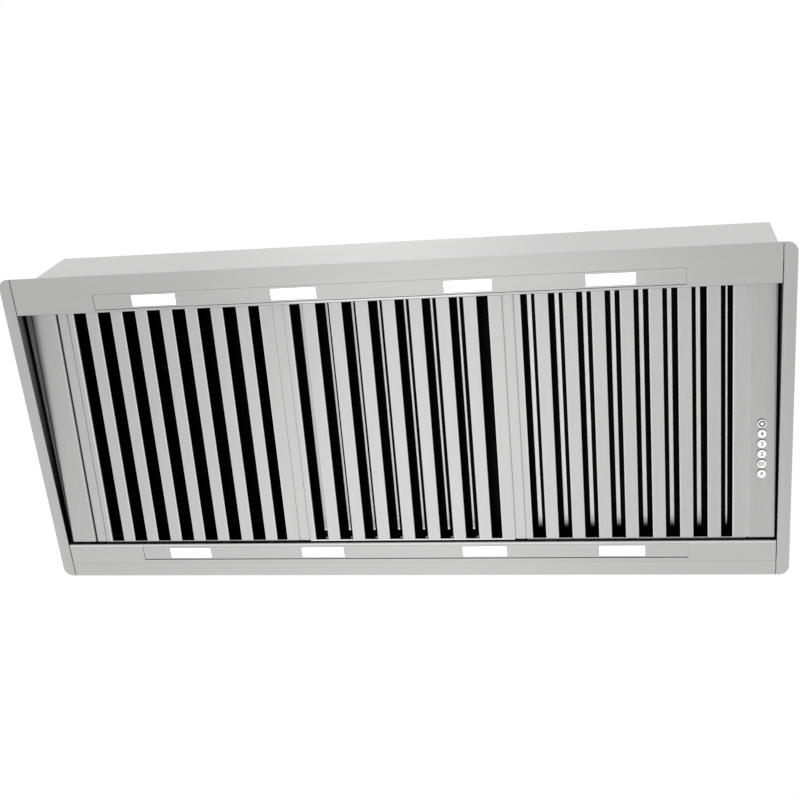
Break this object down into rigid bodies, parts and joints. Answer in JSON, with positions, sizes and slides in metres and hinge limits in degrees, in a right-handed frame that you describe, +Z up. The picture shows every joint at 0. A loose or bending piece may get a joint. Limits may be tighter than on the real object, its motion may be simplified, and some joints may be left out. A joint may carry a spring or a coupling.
{
  "type": "undermount range hood",
  "caption": "Wide undermount range hood with a flat steel flange, swing-down baffle filters, light bars, push buttons and a ducted blower inside a box housing.",
  "frame": {"origin": "middle of the flange's lower face, which is the object's lowest face", "axes": "+X to the right and +Y to the back as seen by someone at the cooker, +Z up"},
  "size_m": [1.2, 0.53, 0.251],
  "materials": {
    "steel": "brushed stainless steel",
    "dark_steel": "matt black coated steel",
    "galvanised": "zinc coated steel",
    "lens": "opal diffuser, lit",
    "board": "circuit board",
    "white_plastic": "satin white",
    "black_plastic": "moulded black",
    "grey_plastic": "moulded grey",
    "motor_paint": "dark enamel",
    "capacitor_can": "drawn can",
    "magnet": "coated magnet",
    "bright_steel": "zinc plated"
  },
  "bodies": {
    "hood": {"flange_front": "steel", "flange_back": "steel", "flange_left": "steel", "flange_right": "steel", "housing_front": "steel", "housing_back": "steel", "housing_left": "steel", "housing_right": "steel", "housing_top": "steel", "filter_rails": "steel", "filler_panel": "steel", "control_panel": "steel", "light_bar_front": "steel", "light_bar_back": "steel", "filter_pivots": "steel", "front_beam": "dark_steel", "rear_beam": "dark_steel", "light_tray_front": "dark_steel", "light_tray_back": "dark_steel", "motor_bracket": "dark_steel", "blower_scroll": "galvanised", "blower_side_left": "galvanised", "blower_side_right": "galvanised", "inlet_rings": "galvanised", "duct_spigot": "galvanised", "light_lenses_front": "lens", "light_lenses_back": "lens", "switch_board": "board", "light_board_front": "board", "light_board_back": "board", "switches": "black_plastic", "terminal_block": "black_plastic", "cable_gland": "black_plastic", "control_box": "grey_plastic", "control_box_lid": "grey_plastic", "light_driver": "grey_plastic", "motor": "motor_paint", "motor_capacitor": "capacitor_can", "catch_magnets": "magnet", "side_screws": "bright_steel", "spigot_screws": "bright_steel"},
    "filter_left": {"filter_left_frame": "steel", "filter_left_slats": "steel", "filter_left_baffles": "steel"},
    "filter_centre": {"filter_centre_frame": "steel", "filter_centre_slats": "steel", "filter_centre_baffles": "steel"},
    "filter_right": {"filter_right_frame": "steel", "filter_right_slats": "steel", "filter_right_baffles": "steel"},
    "button_timer": {"button_timer": "white_plastic"},
    "button_power": {"button_power": "white_plastic"},
    "button_speed_2": {"button_speed_2": "white_plastic"},
    "button_speed_3": {"button_speed_3": "white_plastic"},
    "button_speed_4": {"button_speed_4": "white_plastic"},
    "button_light": {"button_light": "white_plastic"},
    "impeller": {"impeller": "black_plastic", "motor_shaft": "bright_steel"},
    "flap_front": {"flap_front": "galvanised"},
    "flap_back": {"flap_back": "galvanised"}
  },
  "joints": [
    {"name": "filter_left_swing", "type": "hinge", "parent": "hood", "child": "filter_left", "pos_m": [0, -0.2057, 0.03523], "axis": [-1, 0, 0], "range_deg": [0, 60]},
    {"name": "filter_centre_swing", "type": "hinge", "parent": "hood", "child": "filter_centre", "pos_m": [0, -0.2057, 0.03523], "axis": [-1, 0, 0], "range_deg": [0, 60]},
    {"name": "filter_right_swing", "type": "hinge", "parent": "hood", "child": "filter_right", "pos_m": [0, -0.2057, 0.03523], "axis": [-1, 0, 0], "range_deg": [0, 60]},
    {"name": "button_timer_press", "type": "slide", "parent": "hood", "child": "button_timer", "axis": [0, 0.0698, 0.9976], "range_m": [0, 0.002], "stiffness_N_per_m": 800, "springref_m": -0.001},
    {"name": "button_power_press", "type": "slide", "parent": "hood", "child": "button_power", "axis": [0, 0.0698, 0.9976], "range_m": [0, 0.002], "stiffness_N_per_m": 800, "springref_m": -0.001},
    {"name": "button_speed_2_press", "type": "slide", "parent": "hood", "child": "button_speed_2", "axis": [0, 0.0698, 0.9976], "range_m": [0, 0.002], "stiffness_N_per_m": 800, "springref_m": -0.001},
    {"name": "button_speed_3_press", "type": "slide", "parent": "hood", "child": "button_speed_3", "axis": [0, 0.0698, 0.9976], "range_m": [0, 0.002], "stiffness_N_per_m": 800, "springref_m": -0.001},
    {"name": "button_speed_4_press", "type": "slide", "parent": "hood", "child": "button_speed_4", "axis": [0, 0.0698, 0.9976], "range_m": [0, 0.002], "stiffness_N_per_m": 800, "springref_m": -0.001},
    {"name": "button_light_press", "type": "slide", "parent": "hood", "child": "button_light", "axis": [0, 0.0698, 0.9976], "range_m": [0, 0.002], "stiffness_N_per_m": 800, "springref_m": -0.001},
    {"name": "impeller_spin", "type": "hinge", "parent": "hood", "child": "impeller", "pos_m": [0, -0.04349, 0.13401], "axis": [1, 0, 0], "continuous": true},
    {"name": "flap_front_open", "type": "hinge", "parent": "hood", "child": "flap_front", "pos_m": [0, -0.003, 0.224], "axis": [-1, 0, 0], "range_deg": [0, 75]},
    {"name": "flap_back_open", "type": "hinge", "parent": "hood", "child": "flap_back", "pos_m": [0, 0.003, 0.224], "axis": [1, 0, 0], "range_deg": [0, 75]}
  ]
}
